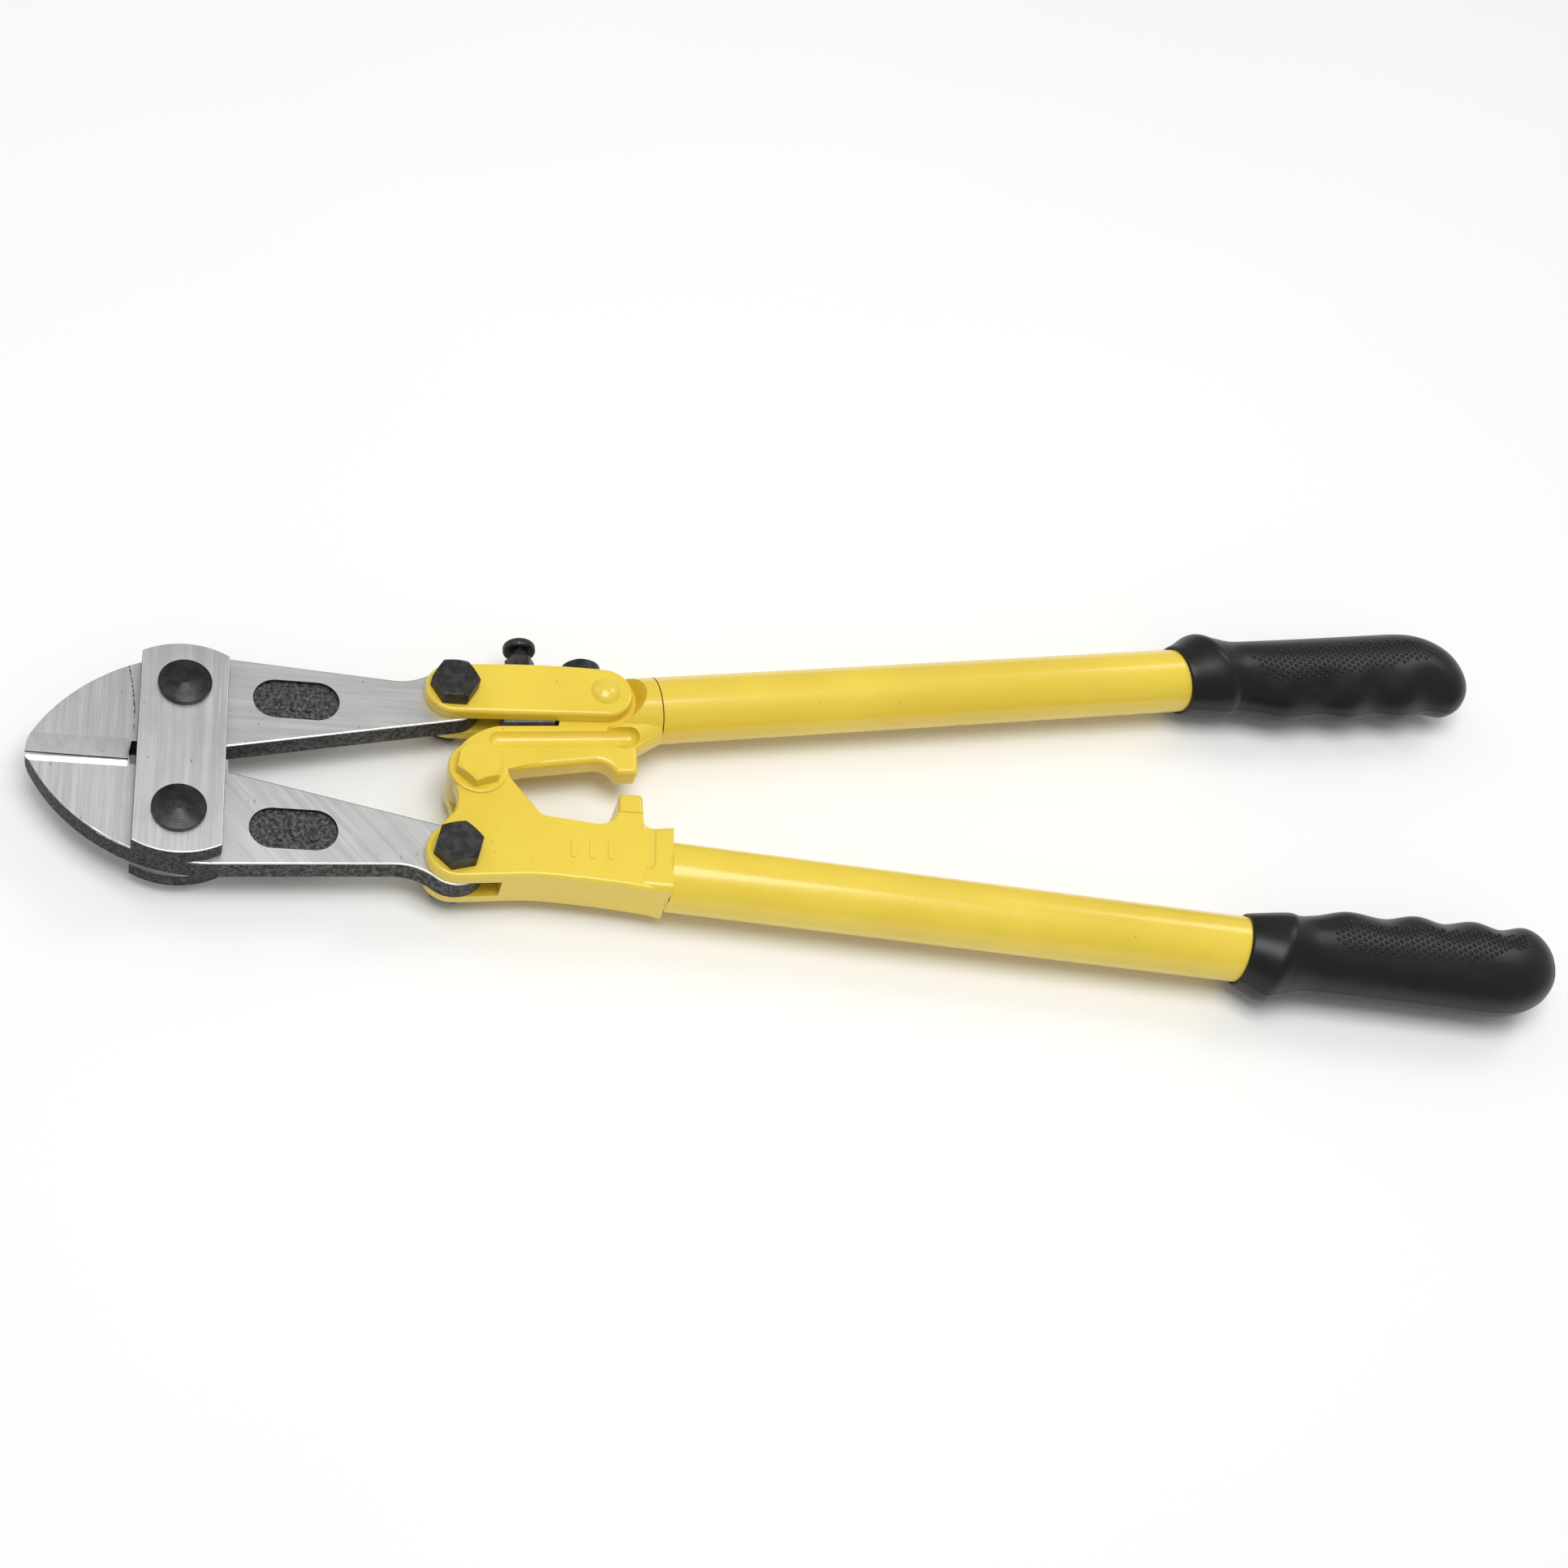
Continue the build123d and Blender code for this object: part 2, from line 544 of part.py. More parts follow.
parts = {
    "upper_jaw": upper_jaw(),
    "lower_jaw": lower_jaw(),
    "front_strap": strap(CHEEK_IN, STRAP_HALF),
    "rear_strap": strap(-STRAP_HALF, -CHEEK_IN),
    "upper_jaw_pin": jaw_pin(1),
    "lower_jaw_pin": jaw_pin(-1),
    "upper_handle_head": upper_handle_head(),
    "upper_tube": tube(UPPER_PLANE, UPPER_GRIP_AT),
    "upper_grip": grip(UPPER_PLANE, UPPER_GRIP_AT, -1),
    "front_side_link": front_link,
    "rear_side_link": mirror(front_link, about=Plane.XY),
    "link_rivet": link_rivet(),
    "adjuster_block": adjuster_block(),
    "adjusting_screw": adjusting_screw(),
    "adjusting_lock_nut": adjusting_lock_nut(),
    "lock_screw": lock_screw(),
    "upper_tail_bolt": bolt(TAIL, NUT_END, FACE_HALF, TAIL_HEAD, 0),
    "upper_tail_nut": nut(TAIL, NUT_END, FACE_HALF, 45),
    "lower_handle_head": lower_handle_head(),
    "lower_tube": tube(LOWER_PLANE, LOWER_GRIP_AT),
    "lower_grip": grip(LOWER_PLANE, LOWER_GRIP_AT, 1),
    "lower_tail_bolt": bolt(LOWER_TAIL, NUT_END, FACE_HALF, TAIL_HEAD, 15),
    "lower_tail_nut": nut(LOWER_TAIL, NUT_END, FACE_HALF, 45),
    "pivot_bolt": bolt(CENTRE, MID_Z, BOSS_HALF, PIVOT_HEAD, 20),
    "pivot_nut": nut(CENTRE, MID_Z, BOSS_HALF, 40),
}

os.makedirs("parts", exist_ok=True)
for name, shape in parts.items():
    export_step(Pos(0, 0, MID_Z) * shape, f"parts/{name}.step")
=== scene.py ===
import json
from math import copysign, cos, exp, pi, radians, sin, sqrt, tan

import bpy
from mathutils import Matrix, Vector


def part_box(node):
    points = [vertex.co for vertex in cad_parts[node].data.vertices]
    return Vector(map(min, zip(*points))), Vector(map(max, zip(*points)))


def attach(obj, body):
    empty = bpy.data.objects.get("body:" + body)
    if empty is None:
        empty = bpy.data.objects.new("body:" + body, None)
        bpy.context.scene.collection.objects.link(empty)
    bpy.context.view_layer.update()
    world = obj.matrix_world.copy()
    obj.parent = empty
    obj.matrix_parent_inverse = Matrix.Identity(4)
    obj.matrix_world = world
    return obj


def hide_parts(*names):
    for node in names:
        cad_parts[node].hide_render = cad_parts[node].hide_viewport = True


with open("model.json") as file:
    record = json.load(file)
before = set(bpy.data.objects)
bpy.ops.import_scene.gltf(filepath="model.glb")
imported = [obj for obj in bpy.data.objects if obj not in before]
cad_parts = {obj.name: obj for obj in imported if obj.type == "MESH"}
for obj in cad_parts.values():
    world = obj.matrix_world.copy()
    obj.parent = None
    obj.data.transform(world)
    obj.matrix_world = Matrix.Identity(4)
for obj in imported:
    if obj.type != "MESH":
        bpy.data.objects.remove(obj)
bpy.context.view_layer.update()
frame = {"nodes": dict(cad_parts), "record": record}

MM = 0.001

# ---------------------------------------------------------------- places read from the frame
MID_Z = (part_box("upper_tube")[0].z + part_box("upper_tube")[1].z) / 2
STRAP_X = (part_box("front_strap")[0].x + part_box("front_strap")[1].x) / 2
JAW_FACE_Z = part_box("upper_jaw")[1].z - MID_Z

# ---------------------------------------------------------------- camera and lights, in metres
CAMERA_XY = (-0.13202, -0.49266)
CAMERA_RISE = 0.77285   # above the tool's middle plane
CAMERA_TURN = (0.5782, -0.2627, -0.0908)
LENS_MM = 55.9
SENSOR_MM = 36
LIGHTS = {              # place, what it points at, its side, its watts
    "key": ((0.05, -0.15, 1.6), (0.12, 0, 0), 0.9, 16),
    "rim": ((-1.0, 0.9, 1.1), (0.12, 0, 0), 0.6, 1.5),
    "grips": ((1.15, 0.75, 1.15), (0.37, 0, 0), 0.5, 3.5),
}
SKY_STRENGTH = 0.42
FLOOR_SIDE = 14

# ---------------------------------------------------------------- tubes, in millimetres
TUBE_R = 13.3
TUBE_AXES = {           # joint's X, the axis's Y at the centre pivot, degrees from +X, the grip mouth's X
    "upper": (71.5, 27.28, 8.9, 299.5),
    "lower": (72.0, -31.0, -4.5, 303.5),
}
CRACK_LIFT = 0.04       # above the paint
CRACK_WIDTH = 0.12      # where the crack starts
CRACK_SWELL = 0.3       # how much wider it grows
CRACK_STEP = 4          # degrees
CRACKS = {              # spans in degrees round the tube from its +Y side
    "upper": ((0, 360),),
    "lower": ((14, 26), (150, 166), (196, 212)),
}

# ---------------------------------------------------------------- grips, in millimetres
FINGER_SIDE = {"upper": -1, "lower": 1}     # the sign of Y towards the fingers
GRIP_LEN = 142.5
OUTER_ROUND = 108.0     # where the outer side starts to round off
DEPTH_ROUND = 115.0     # where the half depth does
FINGER_ROUND = 128.0    # where the finger side does
TIP_ACROSS = 10.0       # the tip lies this far to the finger side
SQUARENESS = 2.2        # power of the sections' superellipse: 2 is an ellipse
SEAM_HEIGHT = 0.3
SEAM_WIDTH = 0.45
AROUND = 112            # points in a section
MOUTH_R = 14.0
MOUTH_DEPTH = 2.5       # how far the mouth's inner edge goes in
HOLLOW_DEPTH = 0.25     # share of the half depth, at the finger edge

# Each curve pairs a place along the grip with a reach, a half depth or a share.
OUTER = ((0, 14.4), (3, 15.5), (12.5, 19.4), (19, 17.5), (27, 15.3), (34, 14.8), (OUTER_ROUND, 14.8))
FINGER = (
    (0, 14.4), (3, 15.2), (12.5, 16.9), (21, 16.4), (34, 17.9), (49, 21.5), (67, 21.2), (80, 23.7),
    (93, 22.5), (106, 24.7), (119, 23.2), (129, 25.2), (GRIP_LEN, 25.2),
)
DEPTH = ((0, 14.4), (3, 15.4), (12.5, 17.9), (19, 16.7), (27, 15.3), (34, 15.0), (DEPTH_ROUND, 15.0))
CENTRE_LINE = (
    (0, 0), (12.5, -1.2), (27, 0.4), (67, 3.1), (93, 3.8), (119, 4.4), (130, 6.9), (138, 8.5),
    (GRIP_LEN, TIP_ACROSS),
)
LEAN = ((0, 3.4), (12.5, 8.5), (24, 3.5), (34, 0), (GRIP_LEN, 0))
HOLLOWS = (
    (0, 0), (34, 0.5), (49, 0), (66, 1), (80, 0), (93, 1), (106, 0), (118, 1), (129, 0), (GRIP_LEN, 0),
)

STUD_PITCH = 2.7
STUD_R = 0.95
STUD_HEIGHT = 0.55
STUD_SUNK = 0.15        # how far its foot goes into the grip
STUD_AROUND = 10
STUD_PROFILE = ((0.0, 1.0), (0.45, 0.93), (0.82, 0.6))      # shares of its height and radius
STUD_PANELS = {         # each grip's outer edge and finger edge, as places along and across
    "upper": (
        ((34, 0), (41, -3.3), (114, -6.6), (126, 4.0)),
        ((34, 0.5), (40, 11.2), (62, 11.6), (91, 9.3), (126, 4.5)),
    ),
    "lower": (
        ((36, 3.0), (40, -3.5), (67, -2.8), (102, -0.2), (126, 10.5)),
        ((36, 3.5), (43, 10.7), (75, 13), (100, 15.5), (126, 16.5)),
    ),
}


# ---------------------------------------------------------------- node helpers

class Shader:
    """A material with one Principled BSDF, and short helpers that add nodes to it."""

    def __init__(self, name, **surface):
        self.mat = bpy.data.materials.new(name)
        self.mat.use_nodes = True
        self.nodes = self.mat.node_tree.nodes
        self.links = self.mat.node_tree.links
        self.bsdf = self.nodes["Principled BSDF"]
        self.put(self.bsdf, surface)
        self.coords = self.add("ShaderNodeTexCoord").outputs["Object"]

    def put(self, node, values):
        """Sets a node's sockets: a socket is linked, anything else is its value."""
        for key, value in values.items():
            name = key.replace("_", " ") if isinstance(key, str) and key not in node.inputs else key
            if isinstance(value, bpy.types.NodeSocket):
                self.links.new(value, node.inputs[name])
            else:
                node.inputs[name].default_value = value

    def add(self, kind, values=None, **settings):
        node = self.nodes.new(kind)
        for key, value in settings.items():
            setattr(node, key, value)
        self.put(node, values or {})
        return node

    def scaled(self, x, y, z, turn=0.0):
        """Object coordinates times a scale for each axis, after a turn about Z in degrees."""
        turned = self.coords
        if turn:
            values = {"Vector": self.coords, "Rotation": (0, 0, radians(turn))}
            turned = self.add("ShaderNodeMapping", values).outputs[0]
        return self.add("ShaderNodeVectorMath", {0: turned, 1: (x, y, z)}, operation="MULTIPLY").outputs[0]

    def noise(self, scale, detail=2.0, roughness=0.5, vector=None):
        values = {"Scale": scale, "Detail": detail, "Roughness": roughness}
        values["Vector"] = vector or self.coords
        return self.add("ShaderNodeTexNoise", values).outputs["Fac"]

    def spots(self, scale, radius, vector=None):
        """1 in small round spots, one to a cell of the pattern, 0 elsewhere."""
        values = {"Scale": scale, "Vector": vector or self.coords}
        distance = self.add("ShaderNodeTexVoronoi", values).outputs["Distance"]
        return self.band(distance, radius, radius * 0.6)

    def math(self, operation, a, b=0.0, clamp=False):
        return self.add("ShaderNodeMath", {0: a, 1: b}, operation=operation, use_clamp=clamp).outputs[0]

    def band(self, value, low, high):
        """0 where value is at low, 1 at high, held outside them."""
        values = {"Value": value, "From Min": low, "From Max": high}
        return self.add("ShaderNodeMapRange", values, interpolation_type="SMOOTHSTEP").outputs[0]

    def between(self, value, low, high):
        """value from 0 to 1 becomes a number from low to high."""
        return self.add("ShaderNodeMapRange", {"Value": value, "To Min": low, "To Max": high}).outputs[0]

    def mix(self, share, a, b):
        """Colour a, going to colour b as share goes from 0 to 1."""
        node = self.add("ShaderNodeMix", data_type="RGBA")
        colour_a, colour_b = [socket for socket in node.inputs if socket.type == "RGBA"]
        for socket, value in ((colour_a, a), (colour_b, b)):
            if isinstance(value, bpy.types.NodeSocket):
                self.links.new(value, socket)
            else:
                socket.default_value = (*value, 1)
        self.put(node, {0: share})
        return [socket for socket in node.outputs if socket.type == "RGBA"][0]

    def axis(self, name, source=None):
        parts = self.add("ShaderNodeSeparateXYZ", {0: source or self.coords})
        return parts.outputs[name]

    def facing(self):
        """How squarely the surface faces up or down: 1 on the flat faces, 0 on the sides."""
        normal = self.add("ShaderNodeTexCoord").outputs["Normal"]
        return self.math("ABSOLUTE", self.axis("Z", normal))

    def bump(self, height, distance, strength=1.0, under=None):
        values = {"Height": height, "Distance": distance, "Strength": strength}
        if under:
            values["Normal"] = under
        return self.add("ShaderNodeBump", values).outputs[0]

    def finish(self, colour=None, roughness=None, normal=None):
        found = {"Base Color": colour, "Roughness": roughness, "Normal": normal}
        self.put(self.bsdf, {key: value for key, value in found.items() if value is not None})
        return self.mat


# ---------------------------------------------------------------- materials

def yellow_enamel():
    """Thick gloss paint: slight orange peel, uneven tone, a few specks of dirt."""
    s = Shader("yellow_enamel", Coat_Weight=0.5, Coat_Roughness=0.12)
    tone = s.noise(22, 3)
    grain = s.noise(2600, 1)
    colour = s.mix(s.band(tone, 0.3, 0.7), (0.80, 0.585, 0.046), (0.87, 0.650, 0.056))
    colour = s.mix(s.between(s.band(grain, 0.35, 0.75), 0.0, 0.22), colour, (0.60, 0.42, 0.03))
    specks = s.math("MULTIPLY", s.spots(260, 0.09), s.band(s.noise(60, 1), 0.60, 0.66))
    colour = s.mix(s.math("MULTIPLY", specks, 0.8), colour, (0.16, 0.10, 0.02))
    peel = s.bump(s.noise(420, 2), 0.00012, 0.5)
    return s.finish(colour, s.between(tone, 0.26, 0.38), s.bump(s.noise(60, 2), 0.0004, 0.35, peel))


def brushed(s, along_x, turn=0.0):
    """Two layers of fine streaks, along X or along Y."""
    fine, long = 2400, 40
    scale = (long, fine, fine) if along_x else (fine, long, fine)
    thin = s.noise(1.0, 3, 0.6, s.scaled(*scale, turn))
    broad_scale = (9, 420, 420) if along_x else (420, 9, 420)
    broad = s.noise(1.0, 2, 0.5, s.scaled(*broad_scale, turn))
    return s.math("ADD", s.math("MULTIPLY", thin, 0.6), s.math("MULTIPLY", broad, 0.4))


def ground_steel(name, streaks_of, marks_of=None):
    """Bright ground faces over dark forged sides. With marks_of it is a jaw, which has cast pockets too."""
    s = Shader(name, Metallic=1.0)
    streaks = streaks_of(s)
    face = s.band(s.facing(), 0.45, 0.62)
    cloud = s.noise(30, 3, 0.6)
    bright = s.mix(s.band(streaks, 0.36, 0.66), (0.67, 0.67, 0.66), (0.80, 0.80, 0.79))
    bright = s.mix(s.between(s.band(cloud, 0.35, 0.7), 0.0, 0.35), bright, (0.50, 0.50, 0.495))
    pits = s.spots(420, 0.14, s.scaled(1.0, 0.35, 1.0))
    pits = s.math("MULTIPLY", pits, s.band(s.noise(90, 1), 0.58, 0.64))
    bright = s.mix(s.math("MULTIPLY", pits, 0.55), bright, (0.08, 0.08, 0.08))
    scale_noise = s.noise(900, 3, 0.7)
    dark = s.mix(s.band(scale_noise, 0.35, 0.7), (0.026, 0.026, 0.027), (0.125, 0.125, 0.121))
    if marks_of:
        bright = s.mix(marks_of(s), bright, (0.03, 0.03, 0.03))
        height = s.math("ABSOLUTE", s.math("SUBTRACT", s.axis("Z"), MID_Z))
        sunk = s.band(height, JAW_FACE_Z - 0.0003, JAW_FACE_Z - 0.0007)
        behind = s.band(s.axis("X"), STRAP_X + 0.014, STRAP_X + 0.016)
        pocket = s.math("MULTIPLY", sunk, behind)
        face = s.math("MULTIPLY", face, s.math("SUBTRACT", 1.0, pocket))
        cast = s.mix(s.band(s.noise(650, 3, 0.7), 0.34, 0.74), (0.035, 0.035, 0.034), (0.19, 0.19, 0.18))
        dark = s.mix(pocket, dark, cast)
    colour = s.mix(face, dark, bright)
    rough_face = s.between(streaks, 0.28, 0.44)
    roughness = s.add("ShaderNodeMix", {0: face, 2: 0.62, 3: rough_face}).outputs[0]
    lines = s.bump(streaks, 0.00003, 0.5)
    pitted = s.bump(s.math("MULTIPLY", scale_noise, s.math("SUBTRACT", 1.0, face)), 0.0003, 0.8, lines)
    return s.finish(colour, roughness, pitted)


def strap_steel():
    return ground_steel("strap_steel", lambda s: brushed(s, along_x=False))


def no_marks(s):
    """For a jaw with nothing scribed on it."""
    return 0.0


def scribe_line(s):
    """A dotted arc scribed across the nose beside the strap."""
    x, y = s.axis("X"), s.axis("Y")
    height = s.math("MULTIPLY", s.math("SUBTRACT", y, 0.010), 1 / 0.030, clamp=True)
    bend = s.math("MULTIPLY", s.math("MULTIPLY", height, height), -0.0036)
    line_x = s.math("ADD", bend, STRAP_X - 0.0170)
    off = s.math("ABSOLUTE", s.math("SUBTRACT", x, line_x))
    near = s.band(off, 0.00042, 0.00018)
    above = s.band(y, 0.009, 0.011)
    dots = s.band(s.noise(1.0, 2, 0.6, s.scaled(900, 900, 100)), 0.42, 0.56)
    return s.math("MULTIPLY", s.math("MULTIPLY", near, above), s.math("MULTIPLY", dots, 0.85))


def jaw_streaks(tail_turn):
    """Grain across the nose, and along the tail at its own angle."""
    def streaks(s):
        nose = brushed(s, along_x=False)
        tail = brushed(s, along_x=True, turn=tail_turn)
        share = s.band(s.axis("X"), STRAP_X - 0.004, STRAP_X + 0.004)
        node = s.add("ShaderNodeMix", {0: share, 2: nose, 3: tail})
        return node.outputs[0]
    return streaks


def black_oxide():
    """Blackened steel with a worn sheen and hairline scratches."""
    s = Shader("black_oxide", Metallic=0.75, Specular_IOR_Level=0.5)
    cloud = s.noise(260, 3, 0.6)
    colour = s.mix(s.band(cloud, 0.35, 0.7), (0.030, 0.030, 0.031), (0.062, 0.062, 0.064))
    scratch = s.band(s.noise(1.0, 1, 0.5, s.scaled(260, 3200, 900, 35)), 0.70, 0.76)
    sparse = s.math("MULTIPLY", scratch, s.band(s.noise(150, 1), 0.55, 0.65))
    colour = s.mix(s.math("MULTIPLY", sparse, 0.8), colour, (0.34, 0.34, 0.34))
    return s.finish(colour, s.between(cloud, 0.34, 0.52), s.bump(s.noise(1500, 2), 0.00004, 0.6))


def turned_black(name):
    """Blackened and turned: rings about one jaw pin's axis."""
    s = Shader(name, Metallic=0.85)
    low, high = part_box(name)
    middle = (low + high) / 2
    from_axis = {0: s.coords, 1: (middle.x, middle.y, 0)}
    offset = s.add("ShaderNodeVectorMath", from_axis, operation="SUBTRACT").outputs[0]
    flat = s.add("ShaderNodeVectorMath", {0: offset, 1: (1, 1, 0)}, operation="MULTIPLY").outputs[0]
    radius = s.add("ShaderNodeVectorMath", {0: flat}, operation="LENGTH").outputs["Value"]
    ring = s.add("ShaderNodeCombineXYZ", {0: s.math("MULTIPLY", radius, 4200.0)}).outputs[0]
    rings = s.noise(1.0, 3, 0.7, ring)
    cloud = s.noise(180, 3, 0.6)
    shade = s.math("ADD", s.math("MULTIPLY", rings, 0.7), s.math("MULTIPLY", cloud, 0.3))
    colour = s.mix(s.band(shade, 0.35, 0.68), (0.012, 0.012, 0.012), (0.085, 0.083, 0.080))
    return s.finish(colour, s.between(cloud, 0.26, 0.42), s.bump(rings, 0.00006, 0.7))


def grey_phosphate():
    """Dull grey block with a fine speckle."""
    s = Shader("grey_phosphate", Metallic=0.4)
    fine = s.noise(2200, 2, 0.8)
    colour = s.mix(s.band(fine, 0.35, 0.68), (0.05, 0.052, 0.055), (0.36, 0.37, 0.38))
    return s.finish(colour, s.between(fine, 0.5, 0.75), s.bump(fine, 0.00012, 0.8))


def grip_rubber():
    """Soft black moulded rubber with a faint dusty bloom."""
    s = Shader("grip_rubber", Specular_IOR_Level=0.34, Sheen_Weight=0.01, Sheen_Roughness=0.5)
    bloom = s.noise(70, 4, 0.6)
    fine = s.noise(1800, 2, 0.6)
    colour = s.mix(s.band(bloom, 0.35, 0.75), (0.0045, 0.0045, 0.0040), (0.0090, 0.0090, 0.0082))
    return s.finish(colour, s.between(bloom, 0.30, 0.42), s.bump(fine, 0.00006, 0.5))


def joint_dirt():
    """The dark line where paint has cracked at a joint."""
    s = Shader("joint_dirt", Specular_IOR_Level=0.2)
    return s.finish(s.mix(s.noise(900, 2), (0.012, 0.009, 0.004), (0.06, 0.04, 0.012)), 0.8)


# ---------------------------------------------------------------- grips

def smooth(table, at):
    """A smooth curve through the table's points."""
    if at >= table[-1][0]:
        return table[-1][1]
    k = max(i for i in range(len(table) - 1) if table[i][0] <= at)
    (x0, y0), (x1, y1) = table[k], table[k + 1]
    before, after = table[max(k - 1, 0)], table[min(k + 2, len(table) - 1)]
    width = x1 - x0
    slope0 = (y1 - before[1]) / (x1 - before[0]) * width
    slope1 = (after[1] - y0) / (after[0] - x0) * width
    t = (at - x0) / width
    rise = t * t * (3 - 2 * t)
    return y0 + (y1 - y0) * rise + slope0 * t * (1 - t) ** 2 - slope1 * t * t * (1 - t)


def straight(table, at):
    """The broken line through the table's points."""
    for (x0, y0), (x1, y1) in zip(table, table[1:]):
        if at <= x1:
            return y0 + (y1 - y0) * (at - x0) / (x1 - x0)
    return table[-1][1]


def rounded(at, start, power):
    """Falls from 1 at start to 0 at the grip's tip, along a superellipse."""
    share = min(max((at - start) / (GRIP_LEN - start), 0.0), 1.0)
    return (1 - share ** power) ** (1 / power)


def grip_section(at):
    """The section's centre, its reach outwards and to the fingers, and its half depth."""
    outer = (smooth(OUTER, at) + TIP_ACROSS) * rounded(at, OUTER_ROUND, SQUARENESS) - TIP_ACROSS
    finger = TIP_ACROSS + (smooth(FINGER, at) - TIP_ACROSS) * rounded(at, FINGER_ROUND, 2.0)
    depth = smooth(DEPTH, at) * rounded(at, DEPTH_ROUND, SQUARENESS)
    return smooth(CENTRE_LINE, at), outer, finger, depth


def finger_hollow(at, share):
    """Thins the section towards the fingers in each finger's place."""
    return 1 - HOLLOW_DEPTH * smooth(HOLLOWS, at) * max(share, 0.0) ** 2


def lean(at, across):
    """How far along a point moves, because the mouth and guard stand at a slant."""
    return smooth(LEAN, at) * (1 + across / 15) / 2


def grip_point(at, angle):
    """A point on the grip: across, up and along, with a fine moulding line on the middle plane."""
    centre, outer, finger, depth = grip_section(at)
    power = 2 / (2.0 + (SQUARENESS - 2.0) * min(at / 30, 1.0))
    reach = finger - centre if cos(angle) > 0 else outer + centre
    across = copysign(abs(cos(angle)) ** power, cos(angle))
    up = copysign(abs(sin(angle)) ** power, sin(angle)) * depth
    seam = SEAM_HEIGHT * exp(-((up / SEAM_WIDTH) ** 2)) * min(depth / 15, 1.0)
    place = centre + across * (reach + seam)
    return place, up * finger_hollow(at, across), at + lean(at, place)


def surface_up(at, across):
    """Height of the grip's face above the middle plane."""
    centre, outer, finger, depth = grip_section(at)
    reach = finger - centre if across > centre else outer + centre
    share = (across - centre) / reach
    return depth * max(1 - abs(share) ** SQUARENESS, 0.0) ** (1 / SQUARENESS) * finger_hollow(at, share)


def add_ring_faces(faces, first, second, count):
    for k in range(count):
        after = (k + 1) % count
        faces.append((first + k, first + after, second + after, second + k))


def grip_shell(points, faces):
    """The moulded skin from the mouth's inner edge to the tip."""
    angles = [2 * pi * k / AROUND for k in range(AROUND)]
    stations = [0.3 + 139.7 * k / 190 for k in range(191)]
    stations = stations + [GRIP_LEN - 4.5 * (1 - k / 16) ** 2 for k in range(1, 16)] + [GRIP_LEN - 0.004]
    rings = []
    for radius, inside in ((TUBE_R + 0.05, MOUTH_DEPTH), (TUBE_R + 0.3, 0.0), (MOUTH_R, 0.0)):
        ring = [(radius * cos(a), radius * sin(a), inside + lean(0, radius * cos(a))) for a in angles]
        rings.append(ring)
    rings.extend([grip_point(at, a) for a in angles] for at in stations)
    for ring in rings:
        points.extend(ring)
    for k in range(len(rings) - 1):
        add_ring_faces(faces, k * AROUND, (k + 1) * AROUND, AROUND)
    last = (len(rings) - 1) * AROUND
    faces.append(tuple(range(last, last + AROUND)))


def add_stud(points, faces, at, across, face_side):
    """A small dome standing on the grip's face."""
    step = 0.2
    up = surface_up(at, across)
    slope_along = (surface_up(at + step, across) - up) / step
    slope_across = (surface_up(at, across + step) - up) / step
    normal = Vector((-slope_across, 1.0, -slope_along)).normalized()
    side = normal.cross(Vector((0, 0, 1))).normalized()
    other = normal.cross(side)
    base = Vector((across, up, at)) - normal * STUD_SUNK
    full_height = STUD_HEIGHT + STUD_SUNK
    start = len(points)
    for height, radius in STUD_PROFILE:
        for k in range(STUD_AROUND):
            angle = 2 * pi * k / STUD_AROUND
            spot = base + normal * (height * full_height)
            spot = spot + (side * cos(angle) + other * sin(angle)) * (radius * STUD_R)
            points.append((spot.x, spot.y * face_side, spot.z))
    for ring in range(2):
        lower_ring = start + ring * STUD_AROUND
        add_ring_faces(faces, lower_ring, lower_ring + STUD_AROUND, STUD_AROUND)
    tip = base + normal * full_height
    points.append((tip.x, tip.y * face_side, tip.z))
    top = start + 2 * STUD_AROUND
    for k in range(STUD_AROUND):
        faces.append((top + k, top + (k + 1) % STUD_AROUND, top + STUD_AROUND))


def add_studs(points, faces, name):
    """Staggered rows of studs over a panel on the front face and the back face."""
    outer_edge, finger_edge = STUD_PANELS[name]
    row_gap = STUD_PITCH * sqrt(3) / 2
    start, end = outer_edge[0][0], outer_edge[-1][0]
    for row in range(int((end - start) / row_gap) + 1):
        at = start + row * row_gap
        low, high = straight(outer_edge, at), straight(finger_edge, at)
        for column in range(-8, 10):
            across = (column + 0.5 * (row % 2)) * STUD_PITCH
            if low <= across <= high:
                for face_side in (1, -1):
                    add_stud(points, faces, at, across, face_side)


def tube_frame(name, start_x):
    """A matrix from millimetres across, up and along a tube to metres in the frame."""
    _, axis_y, angle, _ = TUBE_AXES[name]
    slope = radians(angle)
    along = Vector((cos(slope), sin(slope), 0))
    across = Vector((-along.y, along.x, 0))
    origin = Vector((start_x * MM, (axis_y + start_x * tan(slope)) * MM, MID_Z))
    turn = Matrix((across * MM, Vector((0, 0, MM)), along * MM)).transposed().to_4x4()
    return Matrix.Translation(origin) @ turn


def mesh_piece(name, points, faces, matrix, finish, body):
    mesh = bpy.data.meshes.new(name)
    mesh.from_pydata([matrix @ Vector(point) for point in points], [], faces)
    mesh.validate()
    mesh.update()
    for polygon in mesh.polygons:
        polygon.use_smooth = True
    mesh.materials.append(finish)
    piece = bpy.data.objects.new(name, mesh)
    bpy.context.scene.collection.objects.link(piece)
    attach(piece, body)
    return piece


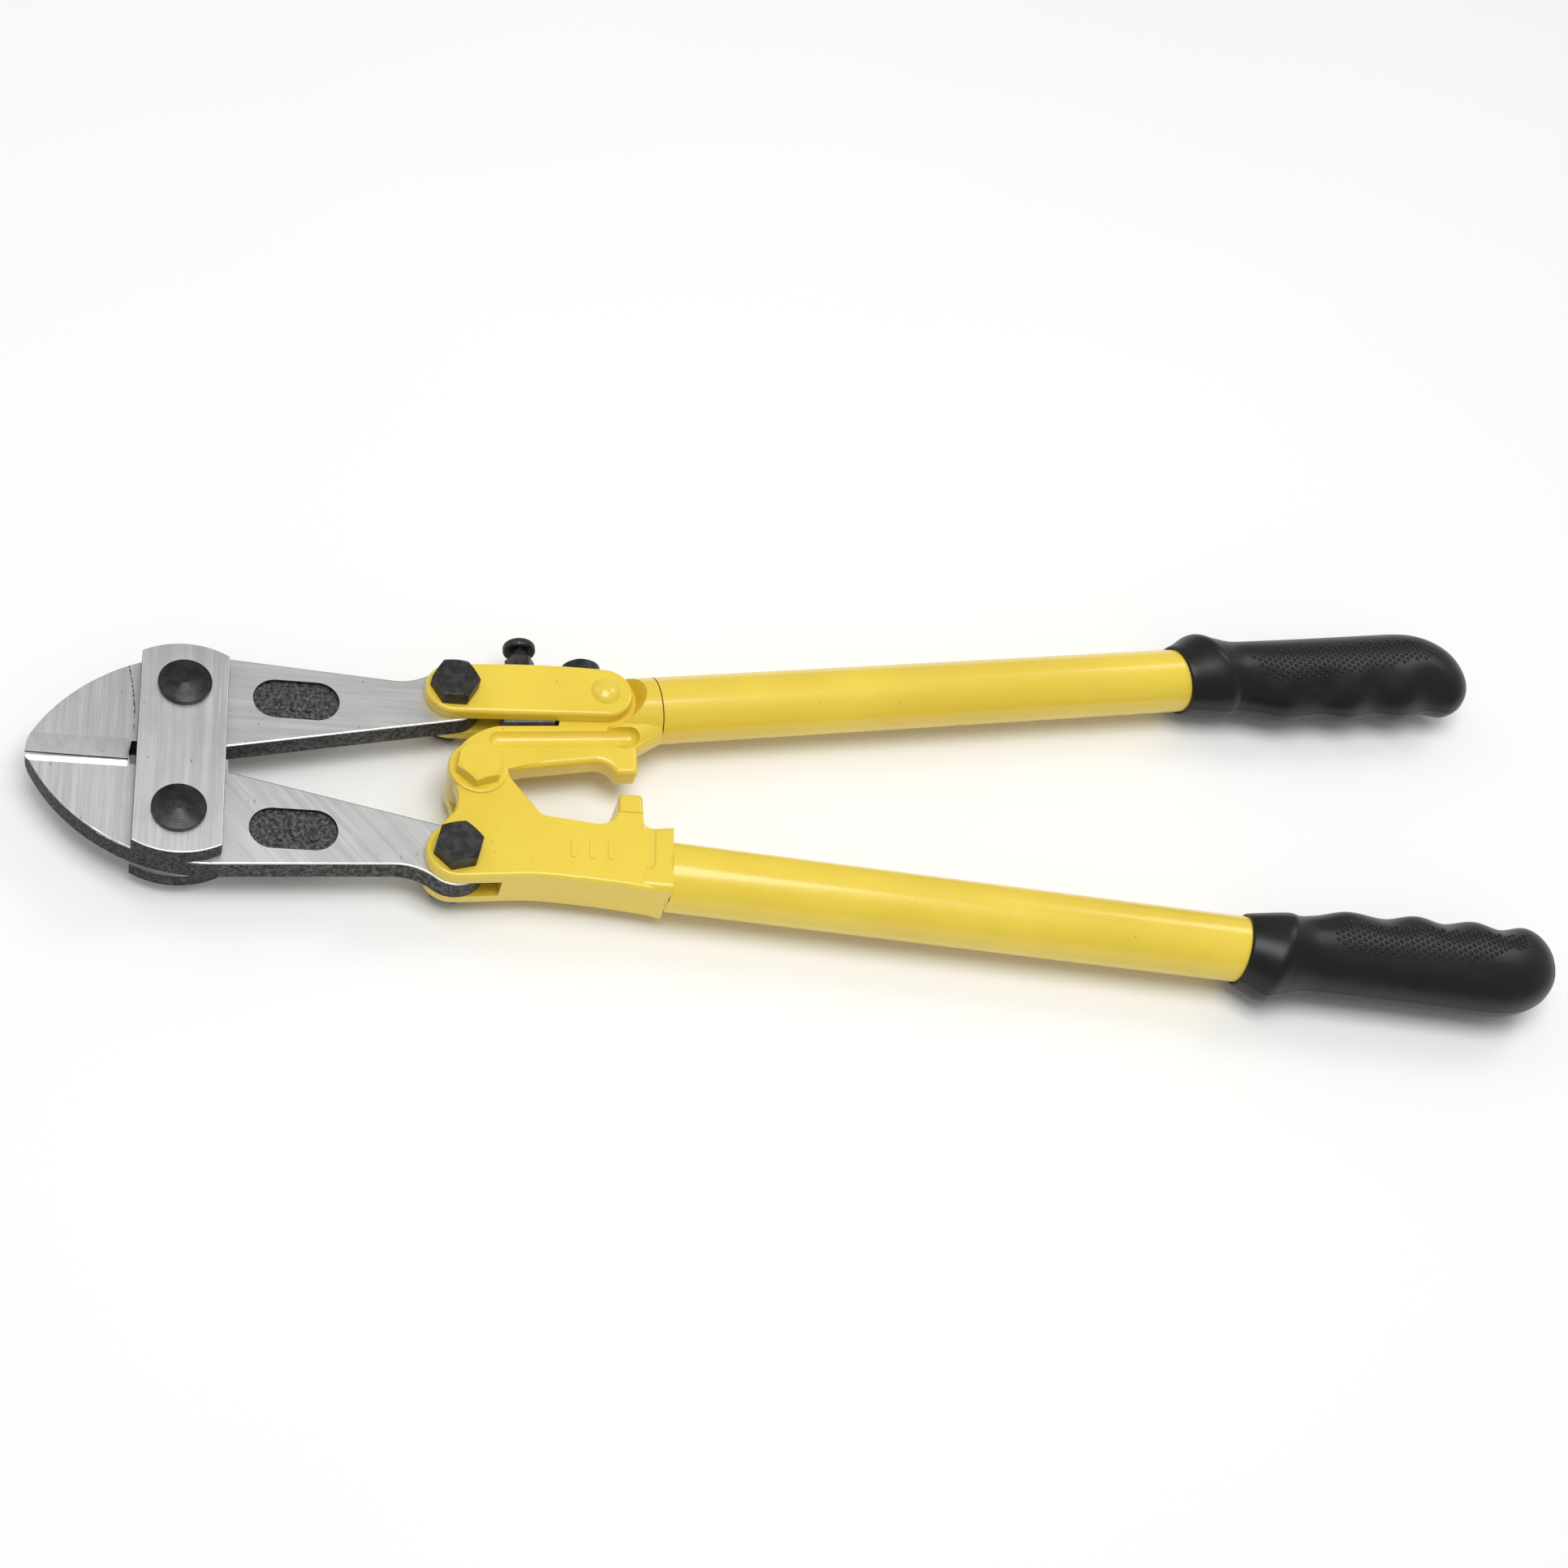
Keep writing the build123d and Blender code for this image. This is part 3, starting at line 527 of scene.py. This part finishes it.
def make_grip(name, rubber):
    points, faces = [], []
    grip_shell(points, faces)
    add_studs(points, faces, name)
    side = FINGER_SIDE[name]
    points = [(across * side, up, along) for across, up, along in points]
    if side > 0:
        faces = [tuple(reversed(face)) for face in faces]
    matrix = tube_frame(name, TUBE_AXES[name][3])
    piece = mesh_piece(name + "_grip_moulded", points, faces, matrix, rubber, name + "_handle")
    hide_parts(name + "_grip")


# ---------------------------------------------------------------- cracked paint at the tubes' joints

def crack_line(name, finish):
    """A thin dark band round the tube at its joint, over that tube's spans."""
    points, faces = [], []
    for low, high in CRACKS[name]:
        count = max(int((high - low) / CRACK_STEP), 2)
        for k in range(count + 1):
            angle = radians(low + (high - low) * k / count)
            taper = sin(pi * k / count) ** 0.3 if high - low < 359 else 1.0
            radius = TUBE_R + CRACK_LIFT
            for along in (0.0, CRACK_WIDTH + CRACK_SWELL * taper):
                points.append((radius * cos(angle), radius * sin(angle), along))
            if k:
                last = len(points) - 1
                faces.append((last - 3, last - 2, last, last - 1))
    matrix = tube_frame(name, TUBE_AXES[name][0])
    mesh_piece(name + "_joint_crack", points, faces, matrix, finish, name + "_handle")


# ---------------------------------------------------------------- finishes on the CAD nodes

def paint_frame_nodes(rubber):
    enamel, oxide = yellow_enamel(), black_oxide()
    finishes = {
        "front_strap": strap_steel(),
        "upper_jaw": ground_steel("upper_jaw_steel", jaw_streaks(0), scribe_line),
        "lower_jaw": ground_steel("lower_jaw_steel", jaw_streaks(50), no_marks),
        "upper_jaw_pin": turned_black("upper_jaw_pin"),
        "lower_jaw_pin": turned_black("lower_jaw_pin"),
        "adjuster_block": grey_phosphate(),
    }
    finishes["rear_strap"] = finishes["front_strap"]
    by_slot = {"yellow_paint": enamel, "black_oxide": oxide, "grip_rubber": rubber}
    for part in frame["record"]["subparts"]:
        node = frame["nodes"][part["node"]]
        finish = finishes.get(part["node"]) or by_slot[part["material_slot"]]
        for slot in node.material_slots:
            slot.material = finish


# ---------------------------------------------------------------- floor, light and camera

def make_floor():
    bpy.ops.mesh.primitive_plane_add(size=FLOOR_SIDE)
    floor = bpy.context.object
    floor.name = "floor"
    s = Shader("floor_white", Roughness=0.9)
    colour = s.mix(s.noise(3, 2), (0.93, 0.93, 0.92), (0.96, 0.96, 0.955))
    floor.data.materials.append(s.finish(colour))


def area_light(name, place, aim, size, power):
    light = bpy.data.lights.new(name, "AREA")
    light.size = size
    light.energy = power
    lamp = bpy.data.objects.new(name, light)
    lamp.location = place
    lamp.rotation_euler = (Vector(aim) - Vector(place)).to_track_quat("-Z", "Y").to_euler()
    bpy.context.scene.collection.objects.link(lamp)


def make_light():
    for name, (place, aim, size, power) in LIGHTS.items():
        area_light(name, place, aim, size, power)
    world = bpy.data.worlds.new("studio")
    world.use_nodes = True
    background = world.node_tree.nodes["Background"]
    background.inputs["Color"].default_value = (1, 1, 1, 1)
    background.inputs["Strength"].default_value = SKY_STRENGTH
    bpy.context.scene.world = world


def make_camera():
    camera = bpy.data.cameras.new("camera")
    camera.lens = LENS_MM
    camera.sensor_width = SENSOR_MM
    camera.clip_start = 0.01
    seat = bpy.data.objects.new("camera", camera)
    seat.location = (*CAMERA_XY, MID_Z + CAMERA_RISE)
    seat.rotation_euler = CAMERA_TURN
    bpy.context.scene.collection.objects.link(seat)
    bpy.context.scene.camera = seat


rubber = grip_rubber()
dirt = joint_dirt()
paint_frame_nodes(rubber)
for name in TUBE_AXES:
    make_grip(name, rubber)
for name in TUBE_AXES:
    crack_line(name, dirt)
make_floor()
make_light()
make_camera()
bpy.context.scene.view_settings.view_transform = "Standard"
